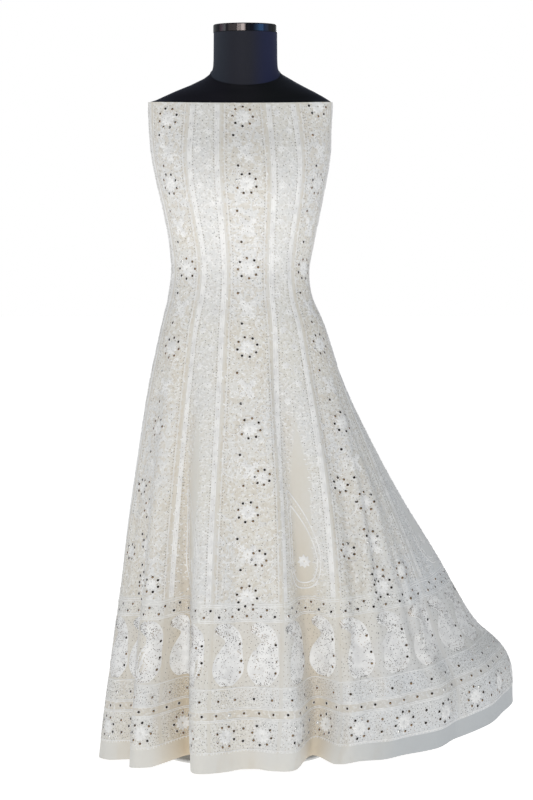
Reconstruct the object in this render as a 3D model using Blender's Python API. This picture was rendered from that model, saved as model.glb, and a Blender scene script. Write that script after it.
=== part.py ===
"""An anarkali gown of twelve flared panels, worn by a limbless dress form on a pole and a round base.

Metres, +Z up, the viewer looks along +Y, and the origin is the centre of the base's underside.
Angles round the gown are in degrees, 0 at the front and rising towards +X. A thread is a line
that runs down the cloth, numbered so that thread k is the first seam of panel k.
"""

import math
from collections import namedtuple

import bmesh
import bpy
import numpy as np

# The gown's driving sizes.
CLOTH = 0.0015  # the wall: embroidered georgette with its lining
SEAM_GAP = 0.0003  # between pieces that are sewn edge to edge
TOP_EDGE_Z = 1.305
WAIST_Z = 0.973
SKIRT_LENGTH = 0.980  # along the cloth, from the waist to the hem
HEM_BAND = 0.034  # the plain band below the embroidery
TOP_DIP = 0.004  # how much lower the top edge is cut at the middle of the front
VALLEY_LIFT = 0.22  # how much a fold that lies back lifts its hem, as a share of its depth
FOLD_GROWTH = 1.15  # how a fold deepens from where it starts down to the hem

# The mesh: the rows of a panel, closer together just below the waist.
BODICE_LENGTH = TOP_EDGE_Z - WAIST_Z
BODICE_ROWS = 8
SKIRT_ROWS = 10
ROW_SPREAD = 1.25
STEPS_A_ROW = 6  # finer steps in between, along which the cloth's own length is measured
ANGLE_STEPS = 1440  # steps round the gown along which its girth is measured

# The form's driving sizes.
BODY_EASE = 0.0010  # from the cloth to the torso, where the cloth rests on it
RING_POINTS = 48
NECK_SIDE = 0.005  # the neck block stands this far to one side of the pole
NECK_SLANT = 0.42  # the rise of the neck seam from front to back
NECK_SEAM_Z = 1.361
NECK_TOP_Z = 1.4435
CAP_RADIUS = 0.0640
CAP_TOP_Z = 1.459
CAP_BOTTOM_Z = NECK_TOP_Z + SEAM_GAP
CAP_EDGE = 0.0015
POLE_RADIUS = 0.014
SOCKET_RADIUS = POLE_RADIUS + SEAM_GAP
SOCKET_Z = 0.015  # the bottom of the hole that takes the pole
BASE_RADIUS = 0.165
BASE_RIM = 0.007
BASE_EDGE = 0.002
HUB_RADIUS = 0.030
HUB_FOOT = 0.006  # how much wider the hub is where it meets the base
HUB_TOP_Z = 0.040
TORSO_BOTTOM_Z = 0.735

# The gown's girth: half its breadth to each side and half its depth to front and back, at
# distances down the cloth from the top edge. Squareness is the exponent of a superellipse.
Girth = namedtuple("Girth", "down left right front back squareness")
GIRTHS = [
    Girth(0.000, 0.189, 0.179, 0.072, 0.088, 2.5),
    Girth(0.053, 0.187, 0.176, 0.098, 0.102, 2.4),
    Girth(0.108, 0.182, 0.174, 0.127, 0.111, 2.3),
    Girth(0.168, 0.170, 0.164, 0.142, 0.111, 2.2),
    Girth(0.228, 0.156, 0.152, 0.129, 0.102, 2.1),
    Girth(0.288, 0.146, 0.140, 0.109, 0.092, 2.0),
    Girth(0.332, 0.143, 0.132, 0.100, 0.088, 2.0),
    Girth(0.380, 0.148, 0.136, 0.107, 0.100, 2.0),
    Girth(0.442, 0.162, 0.160, 0.122, 0.124, 2.0),
    Girth(0.566, 0.188, 0.199, 0.148, 0.152, 2.0),
    Girth(0.692, 0.208, 0.252, 0.174, 0.176, 2.05),
    Girth(0.832, 0.227, 0.317, 0.203, 0.204, 2.1),
    Girth(0.972, 0.243, 0.389, 0.232, 0.230, 2.15),
    Girth(1.112, 0.261, 0.458, 0.260, 0.258, 2.25),
    Girth(1.232, 0.276, 0.534, 0.284, 0.282, 2.3),
    Girth(1.312, 0.284, 0.540, 0.298, 0.296, 2.3),
]

# Where each panel's first seam runs: its distance round the gown from the middle of the front,
# towards +X, as a share of the girth at the top edge, at the waist and at the hem. Strips are
# the panel's columns of faces.
Panel = namedtuple("Panel", "name strips top waist hem")
PANELS = [
    Panel("kali_01_rose", 10, -0.0470, -0.038, -0.026),
    Panel("kali_02_vine", 12, 0.0460, 0.066, 0.024),
    Panel("kali_03_rose", 18, 0.1200, 0.144, 0.090),
    Panel("kali_04_vine", 13, 0.2130, 0.232, 0.190),
    Panel("kali_05_rose", 12, 0.2867, 0.306, 0.284),
    Panel("kali_06_vine", 12, 0.3797, 0.394, 0.374),
    Panel("kali_07_rose", 12, 0.4533, 0.466, 0.463),
    Panel("kali_08_vine", 12, 0.5463, 0.554, 0.552),
    Panel("kali_09_rose", 12, 0.6200, 0.626, 0.640),
    Panel("kali_10_vine", 12, 0.7130, 0.716, 0.728),
    Panel("kali_11_rose", 12, 0.7867, 0.788, 0.812),
    Panel("kali_12_vine", 14, 0.8797, 0.882, 0.900),
]

# The skirt's folds: the angle of each crest and valley at the waist and at the hem, how far it
# stands out at the hem (below zero: lies back), and how far below the waist the fold starts.
Fold = namedtuple("Fold", "waist hem out start")
FOLDS = [
    Fold(0.0, 1.0, -0.012, 0.30),
    Fold(14.0, 6.8, 0.019, 0.12),
    Fold(25.0, 12.4, -0.058, 0.10),
    Fold(45.0, 17.4, 0.024, 0.14),
    Fold(52.0, 21.0, 0.015, 0.20),
    Fold(59.0, 26.0, 0.034, 0.16),
    Fold(64.0, 30.5, 0.026, 0.14),
    Fold(69.0, 38.0, 0.036, 0.16),
    Fold(73.0, 47.0, 0.010, 0.20),
    Fold(78.0, 58.0, 0.010, 0.24),
    Fold(84.0, 72.0, -0.002, 0.30),
    Fold(93.0, 90.0, 0.002, 0.30),
    Fold(106.0, 108.0, -0.036, 0.20),
    Fold(116.0, 121.0, 0.026, 0.16),
    Fold(127.0, 134.0, -0.042, 0.12),
    Fold(138.0, 146.0, 0.030, 0.14),
    Fold(152.0, 158.0, -0.040, 0.18),
    Fold(167.0, 170.0, 0.028, 0.14),
    Fold(183.0, 183.0, -0.044, 0.12),
    Fold(199.0, 197.0, 0.030, 0.16),
    Fold(214.0, 211.0, -0.040, 0.18),
    Fold(229.0, 225.0, 0.026, 0.14),
    Fold(243.0, 240.0, -0.034, 0.16),
    Fold(256.0, 255.0, 0.014, 0.20),
    Fold(268.0, 268.0, -0.006, 0.24),
    Fold(282.0, 286.0, 0.010, 0.20),
    Fold(296.0, 307.0, -0.022, 0.14),
    Fold(306.0, 319.0, 0.026, 0.12),
    Fold(320.0, 334.5, -0.076, 0.10),
    Fold(336.0, 347.0, 0.036, 0.12),
]

# The form's own rings above and below the gown's bodice, bottom to top. Side is how far the
# ring's middle lies towards +X, and slant is its rise from front to back.
Ring = namedtuple("Ring", "z half_width front back side slant")
HIPS = [
    Ring(TORSO_BOTTOM_Z, 0.150, 0.096, 0.114, -0.004, 0.00),
    Ring(0.780, 0.156, 0.104, 0.124, -0.004, 0.00),
    Ring(0.840, 0.149, 0.104, 0.118, -0.004, 0.00),
    Ring(0.900, 0.136, 0.097, 0.100, -0.005, 0.00),
    Ring(0.940, 0.130, 0.093, 0.088, -0.005, 0.00),
]
SHOULDERS = [
    Ring(1.3095, 0.1720, 0.0680, 0.0850, -0.001, 0.00),
    Ring(1.317, 0.1580, 0.0665, 0.0830, 0.001, 0.04),
    Ring(1.327, 0.1375, 0.0645, 0.0790, 0.003, 0.12),
    Ring(1.337, 0.1130, 0.0625, 0.0740, 0.006, 0.21),
    Ring(1.347, 0.0900, 0.0605, 0.0690, 0.008, 0.31),
    Ring(1.355, 0.0755, 0.0592, 0.0640, 0.006, 0.38),
    Ring(NECK_SEAM_Z, 0.0700, 0.0580, 0.0610, NECK_SIDE, NECK_SLANT),
]
NECK = [
    Ring(NECK_SEAM_Z + SEAM_GAP, 0.0698, 0.0578, 0.0608, NECK_SIDE, NECK_SLANT),
    Ring(1.3670, 0.0664, 0.0572, 0.0594, NECK_SIDE, 0.39),
    Ring(1.3750, 0.0644, 0.0570, 0.0588, NECK_SIDE, 0.33),
    Ring(1.3900, 0.0636, 0.0578, 0.0590, NECK_SIDE, 0.22),
    Ring(1.4150, 0.0634, 0.0600, 0.0604, NECK_SIDE, 0.08),
    Ring(NECK_TOP_Z, 0.0632, 0.0626, 0.0626, NECK_SIDE, 0.00),
]

# The turned pieces: the corners of their sections, from the axis out and back to it.
Corner = namedtuple("Corner", "radius z")
CAP = [
    Corner(0.0, CAP_BOTTOM_Z),
    Corner(CAP_RADIUS, CAP_BOTTOM_Z),
    Corner(CAP_RADIUS, CAP_TOP_Z - CAP_EDGE),
    Corner(CAP_RADIUS - CAP_EDGE, CAP_TOP_Z),
    Corner(0.0, CAP_TOP_Z),
]
POLE = [
    Corner(0.0, SOCKET_Z + SEAM_GAP),
    Corner(POLE_RADIUS, SOCKET_Z + SEAM_GAP),
    Corner(POLE_RADIUS, TORSO_BOTTOM_Z - SEAM_GAP),
    Corner(0.0, TORSO_BOTTOM_Z - SEAM_GAP),
]
BASE = [
    Corner(0.0, 0.0),
    Corner(BASE_RADIUS - BASE_EDGE, 0.0),
    Corner(BASE_RADIUS, BASE_EDGE),
    Corner(BASE_RADIUS, BASE_RIM - BASE_EDGE),
    Corner(BASE_RADIUS - BASE_EDGE, BASE_RIM),
    Corner(HUB_RADIUS + HUB_FOOT, BASE_RIM + BASE_EDGE),
    Corner(HUB_RADIUS, BASE_RIM + HUB_FOOT),
    Corner(HUB_RADIUS - BASE_EDGE, HUB_TOP_Z),
    Corner(SOCKET_RADIUS, HUB_TOP_Z),
    Corner(SOCKET_RADIUS, SOCKET_Z),
    Corner(0.0, SOCKET_Z),
]


def clear_scene():
    for obj in list(bpy.data.objects):
        bpy.data.objects.remove(obj, do_unlink=True)


def finish(name, colour, roughness, metallic):
    """A plain material."""
    material = bpy.data.materials.new(name)
    material.use_nodes = True
    shader = material.node_tree.nodes["Principled BSDF"]
    shader.inputs["Base Color"].default_value = (*colour, 1.0)
    shader.inputs["Roughness"].default_value = roughness
    shader.inputs["Metallic"].default_value = metallic
    return material


def along(stations, values, at):
    """A smooth curve through a table: cubic pieces with the slopes that their neighbours give."""
    stations, values, at = (np.asarray(x, float) for x in (stations, values, at))
    slopes = np.gradient(values, stations)
    i = np.clip(np.searchsorted(stations, at, side="right") - 1, 0, len(stations) - 2)
    step = stations[i + 1] - stations[i]
    t = np.clip((at - stations[i]) / step, 0.0, 1.0)
    rise = values[i + 1] - values[i]
    ease = t * t * (3.0 - 2.0 * t)
    start = t * (1.0 - t) ** 2 * step * slopes[i]
    end = t * t * (t - 1.0) * step * slopes[i + 1]
    return values[i] + rise * ease + start + end


def thread_share(u, down):
    """How far round the gown the thread u runs at a distance down. Thread k is panel k's first seam."""
    count = len(PANELS)
    threads = np.arange(-2, count + 3)
    bodice = np.clip(down / BODICE_LENGTH, 0.0, 1.0)
    skirt = np.clip((down - BODICE_LENGTH) / SKIRT_LENGTH, 0.0, 1.0)
    shares = {}
    for level in ("top", "waist", "hem"):
        seams = [getattr(PANELS[k % count], level) + k // count for k in threads]
        shares[level] = along(threads, seams, u)
    top, waist, hem = shares["top"], shares["waist"], shares["hem"]
    return top + (waist - top) * bodice + (hem - waist) * skirt


def fold_out(angle, down):
    """How far the cloth stands out of its plain girth at each of some angles, at one distance down."""
    fallen = np.clip((down - BODICE_LENGTH) / SKIRT_LENGTH, 0.0, 1.0)
    lines = [f.waist + (f.hem - f.waist) * fallen for f in FOLDS]
    angles = np.array([lines[-1] - 360.0, *lines, lines[0] + 360.0])
    folds = [FOLDS[-1], *FOLDS, FOLDS[0]]
    angle = np.mod(angle, 360.0)
    i = np.clip(np.searchsorted(angles, angle, side="right") - 1, 0, len(folds) - 2)
    t = (angle - angles[i]) / (angles[i + 1] - angles[i])
    blend = (1.0 - np.cos(math.pi * t)) / 2.0
    out = np.array([f.out for f in folds])
    start = np.array([f.start for f in folds])
    out_here = out[i] + (out[i + 1] - out[i]) * blend
    start_here = start[i] + (start[i + 1] - start[i]) * blend
    grown = (down - BODICE_LENGTH - start_here) / (SKIRT_LENGTH - start_here)
    return out_here * np.clip(grown, 0.0, 1.0) ** FOLD_GROWTH


def girth(down):
    """Left, right, front, back and squareness at a distance down the cloth."""
    stations = [g.down for g in GIRTHS]
    columns = ("left", "right", "front", "back", "squareness")
    return [along(stations, [getattr(g, c) for g in GIRTHS], down) for c in columns]


def oval(angle, down):
    """The plain girth at an angle: x, y, and the way out of it."""
    left, right, front, back, squareness = girth(down)
    turn = np.radians(angle)
    sine, cosine = np.sin(turn), np.cos(turn)
    breadth = np.where(sine > 0.0, right, left)
    depth = np.where(cosine > 0.0, front, back)
    power = 2.0 / squareness
    x = breadth * np.sign(sine) * np.abs(sine) ** power
    y = -depth * np.sign(cosine) * np.abs(cosine) ** power
    out = np.stack([sine / breadth, -cosine / depth], axis=-1)
    out /= np.linalg.norm(out, axis=-1, keepdims=True)
    return x, y, out


def dipped(angle, down):
    """Distances down the cloth, with the top edge cut lower round the middle of the front."""
    fade = np.clip(1.0 - down / BODICE_LENGTH, 0.0, 1.0) ** 2
    return down + TOP_DIP * fade * np.clip(np.cos(np.radians(angle)), 0.0, 1.0) ** 2


def level_curve(down):
    """The folded cloth at one distance down: angles, x, y, fold, and the share of the girth so far."""
    angle = np.linspace(-360.0, 720.0, ANGLE_STEPS * 3 + 1)
    x, y, out = oval(angle, dipped(angle, down))
    fold = fold_out(angle, down)
    x, y = x + fold * out[:, 0], y + fold * out[:, 1]
    share = np.concatenate([[0.0], np.cumsum(np.hypot(np.diff(x), np.diff(y)))])
    share /= share[2 * ANGLE_STEPS] - share[ANGLE_STEPS]
    return angle, x, y, fold, share - share[ANGLE_STEPS]


def cloth_points(u, down):
    """The outer face of the gown at threads u and distances down: rows downwards, columns in u.

    The bodice follows the form, so its height is set. In the skirt each thread keeps its own
    length, so the hem rises where the cloth is swept out.
    """
    shape = (len(down), len(u))
    angle, x, y, fold = (np.empty(shape) for _ in range(4))
    for r, distance in enumerate(down):
        angles, *curve, share = level_curve(distance)
        here = thread_share(u, distance)
        angle[r] = np.interp(here, share, angles)
        x[r], y[r], fold[r] = (np.interp(here, share, values) for values in curve)
    down = dipped(angle, np.reshape(down, (-1, 1)))
    plain_x, plain_y, _ = oval(angle, down)
    run = np.hypot(np.diff(plain_x, axis=0), np.diff(plain_y, axis=0))
    length = np.diff(down, axis=0)
    slanted = np.sqrt(np.maximum(length**2 - run**2, (0.3 * length) ** 2))
    drop = np.where(down[1:] > BODICE_LENGTH + 1e-9, slanted, length)
    z = TOP_EDGE_Z - np.concatenate([down[:1], down[:1] + np.cumsum(drop, axis=0)])
    return np.stack([x, y, z - VALLEY_LIFT * np.minimum(fold, 0.0)], axis=-1)


def facing(points):
    """Unit normals of a grid of points, rows downwards and columns rising in u, pointing out."""
    down_way = np.gradient(points, axis=0)
    round_way = np.gradient(points, axis=1)
    normal = np.cross(down_way, round_way)
    return normal / np.linalg.norm(normal, axis=-1, keepdims=True)


def panel_rows():
    """How far down the cloth each row of a panel lies."""
    bodice = np.linspace(0.0, BODICE_LENGTH, BODICE_ROWS + 1)
    skirt = SKIRT_LENGTH * np.linspace(0.0, 1.0, SKIRT_ROWS + 1) ** ROW_SPREAD
    return np.concatenate([bodice, BODICE_LENGTH + skirt[1:]])


def piece_faces(k, first, last):
    """Outer and inner points of panel k between two distances down the cloth."""
    rows = panel_rows()
    fine = np.interp(np.arange((len(rows) - 1) * STEPS_A_ROW + 1) / STEPS_A_ROW, np.arange(len(rows)), rows)
    between = rows[(rows > first + SEAM_GAP) & (rows < last - SEAM_GAP)]
    rows = np.concatenate([[first], between, [last]])
    down = np.unique(np.concatenate([fine, rows]))
    margin = 0.04  # threads just past both seams, so that neighbours share their normals there
    threads = np.linspace(k - margin, k + 1 + margin, 241)
    points = cloth_points(threads, down)
    keep = np.searchsorted(down, rows)
    points, normals = points[keep], facing(points)[keep]
    columns = PANELS[k].strips + 1
    outer = np.empty((len(rows), columns, 3))
    inner = np.empty_like(outer)
    for r in range(len(rows)):
        steps = np.linalg.norm(np.diff(points[r], axis=0), axis=1)
        length = np.concatenate([[0.0], np.cumsum(steps)])
        start, end = np.interp([k, k + 1], threads, length)
        across = np.linspace(start + SEAM_GAP / 2, end - SEAM_GAP / 2, columns)
        for axis in range(3):
            outer[r, :, axis] = np.interp(across, length, points[r, :, axis])
            inner[r, :, axis] = np.interp(across, length, normals[r, :, axis])
    inner /= np.linalg.norm(inner, axis=-1, keepdims=True)
    return outer, outer - CLOTH * inner


def add_object(name, bm, material):
    mesh = bpy.data.meshes.new(name)
    bmesh.ops.recalc_face_normals(bm, faces=bm.faces[:])
    bm.to_mesh(mesh)
    bm.free()
    obj = bpy.data.objects.new(name, mesh)
    bpy.context.scene.collection.objects.link(obj)
    mesh.materials.append(material)
    mesh.shade_smooth()
    mesh.set_sharp_from_angle(angle=math.radians(50))
    return obj


def split_edges(bm, outside, place):
    """Splits the faces along the wall's edges the same way on every piece, so neighbours stay parallel."""
    for face in bm.faces[:]:
        outer = [v for v in face.verts if v in outside]
        if len(outer) == 2:
            inner = [v for v in face.verts if v not in outside]
            first = min(outer, key=lambda v: v[place])
            last = max(inner, key=lambda v: v[place])
            bmesh.utils.face_split(face, first, last)


def wall(name, outer, inner, material):
    """A closed wall of cloth: a grid laid on the outer points, extruded to the inner ones."""
    rows, columns = outer.shape[:2]
    bm = bmesh.new()
    place = bm.verts.layers.int.new("place")
    bmesh.ops.create_grid(bm, x_segments=columns - 1, y_segments=rows - 1, size=1.0)
    for number, vertex in enumerate(bm.verts):
        vertex[place] = number
        vertex.co = outer[number // columns, number % columns]
    outside = set(bm.verts)
    made = bmesh.ops.extrude_face_region(bm, geom=bm.faces[:])
    for vertex in made["geom"]:
        if isinstance(vertex, bmesh.types.BMVert):
            vertex.co = inner[vertex[place] // columns, vertex[place] % columns]
    split_edges(bm, outside, place)
    return add_object(name, bm, material)


def ring_points(ring):
    """The points of one of the form's rings."""
    turn = np.linspace(0.0, 2.0 * math.pi, RING_POINTS, endpoint=False)
    x = ring.half_width * np.sin(turn)
    depth = np.where(np.cos(turn) > 0.0, ring.front, ring.back)
    y = -depth * np.cos(turn)
    return np.stack([x + ring.side, y, ring.z + ring.slant * y], axis=-1)


def bodice_rings():
    """The torso's rings inside the bodice: the gown's own girth less the cloth and the ease."""
    rings = []
    turn = np.degrees(np.linspace(0.0, 2.0 * math.pi, RING_POINTS, endpoint=False))
    for down in np.linspace(BODICE_LENGTH, 0.0, BODICE_ROWS + 1):
        left, right, front, back, _ = girth(down)
        inset = CLOTH + BODY_EASE
        x, y, _ = oval(turn, np.full(RING_POINTS, down))
        x = x * np.where(x > 0.0, 1.0 - inset / right, 1.0 - inset / left)
        y = y * np.where(y < 0.0, 1.0 - inset / front, 1.0 - inset / back)
        rings.append(np.stack([x, y, np.full(RING_POINTS, TOP_EDGE_Z - down)], axis=-1))
    return rings


def loft(name, rings, material):
    """A closed solid through rings of points, bottom to top: one loop extruded from ring to ring."""
    bm = bmesh.new()
    place = bm.verts.layers.int.new("place")
    first = bmesh.ops.create_circle(bm, cap_ends=True, segments=RING_POINTS, radius=1.0)
    for number, vertex in enumerate(first["verts"]):
        vertex[place] = number
        vertex.co = rings[0][number]
    loop = bm.edges[:]
    for ring in rings[1:]:
        made = bmesh.ops.extrude_edge_only(bm, edges=loop)["geom"]
        loop = [e for e in made if isinstance(e, bmesh.types.BMEdge)]
        for vertex in made:
            if isinstance(vertex, bmesh.types.BMVert):
                vertex.co = ring[vertex[place]]
        loop = [e for e in loop if all(v in made for v in e.verts)]
    bmesh.ops.contextual_create(bm, geom=loop)
    return add_object(name, bm, material)


def turned(name, section, centre_x, material):
    """A solid turned about a vertical line through centre_x."""
    bm = bmesh.new()
    corners = [bm.verts.new((corner.radius, 0.0, corner.z)) for corner in section]
    edges = [bm.edges.new(pair) for pair in zip(corners, corners[1:])]
    bmesh.ops.spin(
        bm,
        geom=corners + edges,
        cent=(0.0, 0.0, 0.0),
        axis=(0.0, 0.0, 1.0),
        angle=2.0 * math.pi,
        steps=RING_POINTS,
        use_merge=True,
    )
    bmesh.ops.remove_doubles(bm, verts=bm.verts[:], dist=0.00001)
    bmesh.ops.translate(bm, verts=bm.verts[:], vec=(centre_x, 0.0, 0.0))
    return add_object(name, bm, material)


def build_gown():
    white = finish("embroidered_georgette", (0.83, 0.82, 0.78), 0.85, 0.0)
    plain = finish("plain_hem_cloth", (0.78, 0.76, 0.70), 0.8, 0.0)
    hem = BODICE_LENGTH + SKIRT_LENGTH
    for k, panel in enumerate(PANELS):
        wall(panel.name, *piece_faces(k, 0.0, hem - HEM_BAND - SEAM_GAP / 2), white)
        band = "hem_" + panel.name[5:7]
        wall(band, *piece_faces(k, hem - HEM_BAND + SEAM_GAP / 2, hem), plain)


def build_form():
    jersey = finish("black_jersey", (0.018, 0.019, 0.024), 0.8, 0.0)
    steel = finish("dark_chrome", (0.35, 0.36, 0.38), 0.2, 1.0)
    pale_coat = finish("pale_coat", (0.78, 0.78, 0.77), 0.5, 0.0)
    hips = [ring_points(r) for r in HIPS]
    shoulders = [ring_points(r) for r in SHOULDERS]
    loft("form_torso", hips + bodice_rings() + shoulders, jersey)
    loft("form_neck", [ring_points(r) for r in NECK], jersey)
    turned("form_neck_cap", CAP, NECK_SIDE, steel)
    turned("form_pole", POLE, 0.0, steel)
    turned("form_base", BASE, 0.0, pale_coat)


clear_scene()
build_gown()
build_form()
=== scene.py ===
"""The embroidered gown on its dress form: cloth, thread work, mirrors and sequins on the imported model.

Metres, +Z up, the viewer looks along +Y. A thread is a line that runs down the cloth, numbered so
that thread k is the first seam of panel k. Places on a panel are flat ones: across from the
panel's middle line, and down from the gown's top edge.
"""

import math
from collections import namedtuple

import bmesh
import bpy
import numpy as np
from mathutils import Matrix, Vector


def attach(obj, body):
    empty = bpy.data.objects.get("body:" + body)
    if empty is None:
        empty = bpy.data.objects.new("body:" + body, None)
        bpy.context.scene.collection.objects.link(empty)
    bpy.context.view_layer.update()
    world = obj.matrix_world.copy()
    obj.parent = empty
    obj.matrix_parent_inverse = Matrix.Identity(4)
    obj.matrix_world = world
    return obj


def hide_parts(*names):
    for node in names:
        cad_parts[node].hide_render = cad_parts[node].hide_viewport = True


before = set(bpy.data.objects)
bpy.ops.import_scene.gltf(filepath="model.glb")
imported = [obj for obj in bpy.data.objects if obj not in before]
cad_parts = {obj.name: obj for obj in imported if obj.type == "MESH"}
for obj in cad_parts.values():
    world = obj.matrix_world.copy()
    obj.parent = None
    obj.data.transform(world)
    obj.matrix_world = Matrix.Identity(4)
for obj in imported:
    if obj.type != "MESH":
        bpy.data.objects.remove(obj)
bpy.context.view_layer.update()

# The gown's driving sizes, as its solids have them.
TOP_EDGE_Z = 1.305
WAIST_Z = 0.973
SKIRT_LENGTH = 0.980
HEM_BAND = 0.034
TOP_DIP = 0.004
VALLEY_LIFT = 0.22
FOLD_GROWTH = 1.15
BODICE_LENGTH = TOP_EDGE_Z - WAIST_Z
LENGTH = BODICE_LENGTH + SKIRT_LENGTH
TURN = 2.0 * math.pi
ANGLE_STEPS = 1440
CLOTH = 0.0009  # the visible shell's own thickness
DEEP_FOLD = 0.07  # cloth this far in takes the full painted shade

# The lattice that every piece of cloth and every stitch is laid on.
COLUMNS_A_STRIP = 3
FINE_THREADS = 96  # a panel's threads before they are spaced evenly
PANEL_ROWS = 194
HEM_ROWS = 6

Girth = namedtuple("Girth", "down left right front back squareness")
GIRTHS = [Girth(*row) for row in (
    (0.000, 0.189, 0.179, 0.072, 0.088, 2.5),
    (0.053, 0.187, 0.176, 0.098, 0.102, 2.4),
    (0.108, 0.182, 0.174, 0.127, 0.111, 2.3),
    (0.168, 0.170, 0.164, 0.142, 0.111, 2.2),
    (0.228, 0.156, 0.152, 0.129, 0.102, 2.1),
    (0.288, 0.146, 0.140, 0.109, 0.092, 2.0),
    (0.332, 0.143, 0.132, 0.100, 0.088, 2.0),
    (0.380, 0.148, 0.136, 0.107, 0.100, 2.0),
    (0.442, 0.162, 0.160, 0.122, 0.124, 2.0),
    (0.566, 0.188, 0.199, 0.148, 0.152, 2.0),
    (0.692, 0.208, 0.252, 0.174, 0.176, 2.05),
    (0.832, 0.227, 0.317, 0.203, 0.204, 2.1),
    (0.972, 0.243, 0.389, 0.232, 0.230, 2.15),
    (1.112, 0.261, 0.458, 0.260, 0.258, 2.25),
    (1.232, 0.276, 0.534, 0.284, 0.282, 2.3),
    (1.312, 0.284, 0.540, 0.298, 0.296, 2.3),
)]

Panel = namedtuple("Panel", "name strips top waist hem")
PANELS = [Panel(*row) for row in (
    ("01_rose", 10, -0.0470, -0.038, -0.026),
    ("02_vine", 12, 0.0460, 0.066, 0.024),
    ("03_rose", 18, 0.1200, 0.144, 0.090),
    ("04_vine", 13, 0.2130, 0.232, 0.190),
    ("05_rose", 12, 0.2867, 0.306, 0.284),
    ("06_vine", 12, 0.3797, 0.394, 0.374),
    ("07_rose", 12, 0.4533, 0.466, 0.463),
    ("08_vine", 12, 0.5463, 0.554, 0.552),
    ("09_rose", 12, 0.6200, 0.626, 0.640),
    ("10_vine", 12, 0.7130, 0.716, 0.728),
    ("11_rose", 12, 0.7867, 0.788, 0.812),
    ("12_vine", 14, 0.8797, 0.882, 0.900),
)]

Fold = namedtuple("Fold", "waist hem out start")
FOLDS = [Fold(*row) for row in (
    (0.0, 1.0, -0.012, 0.30),
    (14.0, 6.8, 0.019, 0.12),
    (25.0, 12.4, -0.058, 0.10),
    (45.0, 17.4, 0.024, 0.14),
    (52.0, 21.0, 0.015, 0.20),
    (59.0, 26.0, 0.034, 0.16),
    (64.0, 30.5, 0.026, 0.14),
    (69.0, 38.0, 0.036, 0.16),
    (73.0, 47.0, 0.010, 0.20),
    (78.0, 58.0, 0.010, 0.24),
    (84.0, 72.0, -0.002, 0.30),
    (93.0, 90.0, 0.002, 0.30),
    (106.0, 108.0, -0.036, 0.20),
    (116.0, 121.0, 0.026, 0.16),
    (127.0, 134.0, -0.042, 0.12),
    (138.0, 146.0, 0.030, 0.14),
    (152.0, 158.0, -0.040, 0.18),
    (167.0, 170.0, 0.028, 0.14),
    (183.0, 183.0, -0.044, 0.12),
    (199.0, 197.0, 0.030, 0.16),
    (214.0, 211.0, -0.040, 0.18),
    (229.0, 225.0, 0.026, 0.14),
    (243.0, 240.0, -0.034, 0.16),
    (256.0, 255.0, 0.014, 0.20),
    (268.0, 268.0, -0.006, 0.24),
    (282.0, 286.0, 0.010, 0.20),
    (296.0, 307.0, -0.022, 0.14),
    (306.0, 319.0, 0.026, 0.12),
    (320.0, 334.5, -0.076, 0.10),
    (336.0, 347.0, 0.036, 0.12),
)]

# The form's rings, bottom to top, as its solids have them.
Ring = namedtuple("Ring", "z half_width front back side slant")
NECK_SIDE = 0.005
NECK_SEAM_Z = 1.361
NECK_SLANT = 0.42
NECK_TOP_Z = 1.4435
CAP_TOP_Z = 1.459
CAP_RADIUS = 0.0640
HIPS = [
    Ring(0.735, 0.150, 0.096, 0.114, -0.004, 0.00),
    Ring(0.780, 0.156, 0.104, 0.124, -0.004, 0.00),
    Ring(0.840, 0.149, 0.104, 0.118, -0.004, 0.00),
    Ring(0.900, 0.136, 0.097, 0.100, -0.005, 0.00),
    Ring(0.940, 0.130, 0.093, 0.088, -0.005, 0.00),
]
SHOULDERS = [
    Ring(1.3095, 0.1720, 0.0680, 0.0850, -0.001, 0.00),
    Ring(1.317, 0.1580, 0.0665, 0.0830, 0.001, 0.04),
    Ring(1.327, 0.1375, 0.0645, 0.0790, 0.003, 0.12),
    Ring(1.337, 0.1130, 0.0625, 0.0740, 0.006, 0.21),
    Ring(1.347, 0.0900, 0.0605, 0.0690, 0.008, 0.31),
    Ring(1.355, 0.0755, 0.0592, 0.0640, 0.006, 0.38),
    Ring(NECK_SEAM_Z, 0.0700, 0.0580, 0.0610, NECK_SIDE, NECK_SLANT),
]
NECK = [
    Ring(NECK_SEAM_Z, 0.0698, 0.0578, 0.0608, NECK_SIDE, NECK_SLANT),
    Ring(1.3670, 0.0664, 0.0572, 0.0594, NECK_SIDE, 0.39),
    Ring(1.3750, 0.0644, 0.0570, 0.0588, NECK_SIDE, 0.33),
    Ring(1.3900, 0.0636, 0.0578, 0.0590, NECK_SIDE, 0.22),
    Ring(1.4150, 0.0634, 0.0600, 0.0604, NECK_SIDE, 0.08),
    Ring(NECK_TOP_Z, 0.0632, 0.0626, 0.0626, NECK_SIDE, 0.00),
]
BODY_EASE = 0.0025  # from the gown's outer face to the torso
FORM_CORD = 0.0014  # the fine cords round the neck's foot and under the rim
RING_POINTS = 96

# The needlework's sizes. Heights are measured up from the hem, along the cloth, and downs from the top edge.
RANDOM_START = 1862
THREAD_LIFT = 0.0001
SEQUIN_LIFT = 0.0004
LEAF_LENGTH = 0.0070
STEM = 0.0015  # widths of a stem's cord, a border's and a tall paisley's
BORDER_CORD = 0.0016
OUTLINE = 0.0026
CORD_HEIGHT = 0.0006
LINE_HEIGHT = 0.0007
BAND_STEP = 0.008  # between the points of a seam's satin bands
DOT_STEP = 0.0055  # between the sequins of a seam's dotted line
PANEL_START = 0.004  # the first stitches below the top edge
MIRROR_MARGIN = 0.0035
SCATTER_MARGIN = 0.003
PETAL_REACH = 0.013  # no knots this near a roundel's middle
LEAVES_APART = 0.017  # no loose leaves this near a flower's middle
WIDE_BANDS = ((0.0052, 0.0030), (0.0085, 0.0030), (0.0118, 0.0030))  # in from the seam, and width
FINE_BANDS = ((0.0062, 0.0014),)
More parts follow.
